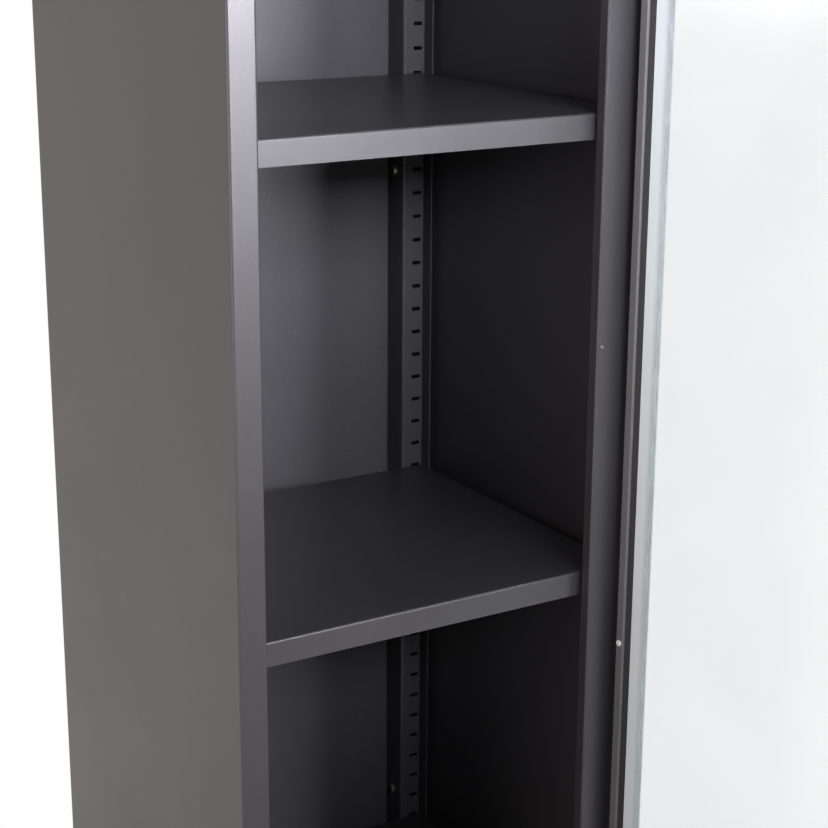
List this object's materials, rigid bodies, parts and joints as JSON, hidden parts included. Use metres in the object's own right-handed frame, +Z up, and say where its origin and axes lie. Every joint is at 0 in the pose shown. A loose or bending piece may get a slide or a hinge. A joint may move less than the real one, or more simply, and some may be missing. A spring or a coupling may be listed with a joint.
{
  "type": "tall storage cabinet",
  "caption": "Tall narrow steel storage cabinet with adjustable shelves on slotted uprights and a framed glass door that swings on pivot pins and closes with a turn lock.",
  "frame": {"origin": "on the floor, at the middle of the base's front hem, half-way across the cabinet", "axes": "+Z up, +X to the cabinet's right as seen from the front, the front faces -Y"},
  "size_m": [0.4942, 0.802, 1.8],
  "materials": {
    "case_paint": "fine-textured powder coat, satin",
    "door_paint": "fine-textured powder coat, satin",
    "frosted_glass": "frosted",
    "zinc": "zinc plated",
    "bright_steel": "turned",
    "rubber": "matt",
    "nylon": "moulded",
    "chrome_trim": "polished",
    "handle_black": "moulded, satin"
  },
  "bodies": {
    "case": {"base_tray": "case_paint", "left_side_panel": "case_paint", "right_side_panel": "case_paint", "back_panel": "case_paint", "left_rear_upright": "case_paint", "right_rear_upright": "case_paint", "hinge_post_stiffener": "case_paint", "top_tray": "case_paint", "lower_shelf": "case_paint", "middle_shelf": "case_paint", "upper_shelf": "case_paint", "lower_shelf_clips": "zinc", "middle_shelf_clips": "zinc", "upper_shelf_clips": "zinc", "upright_screws": "zinc", "post_rivets": "zinc", "door_buffers": "rubber", "lower_pivot_bracket": "case_paint", "upper_pivot_bracket": "case_paint", "lower_pivot_pin": "bright_steel", "upper_pivot_pin": "bright_steel"},
    "door": {"hinge_stile": "door_paint", "lock_stile": "door_paint", "bottom_rail": "door_paint", "top_rail": "door_paint", "hinge_bead": "door_paint", "lock_bead": "door_paint", "bottom_bead": "door_paint", "top_bead": "door_paint", "glass_pane": "frosted_glass", "glazing_gasket": "rubber", "bead_screws": "zinc", "lower_pivot_bush": "nylon", "upper_pivot_bush": "nylon", "lock_barrel": "chrome_trim", "barrel_nut": "bright_steel"},
    "lock": {"turn_handle": "handle_black", "lock_cam": "bright_steel", "cam_screw": "zinc"}
  },
  "joints": [
    {"name": "door_swing", "type": "hinge", "parent": "case", "child": "door", "pos_m": [0.1888, -0.0285, 0.905], "axis": [0, 0, 1], "range_deg": [-100, 10]},
    {"name": "lock_turn", "type": "hinge", "parent": "door", "child": "lock", "pos_m": [0.23856, -0.3798, 1.02], "axis": [-0.9848, -0.1736, 0], "range_deg": [0, 90]}
  ]
}
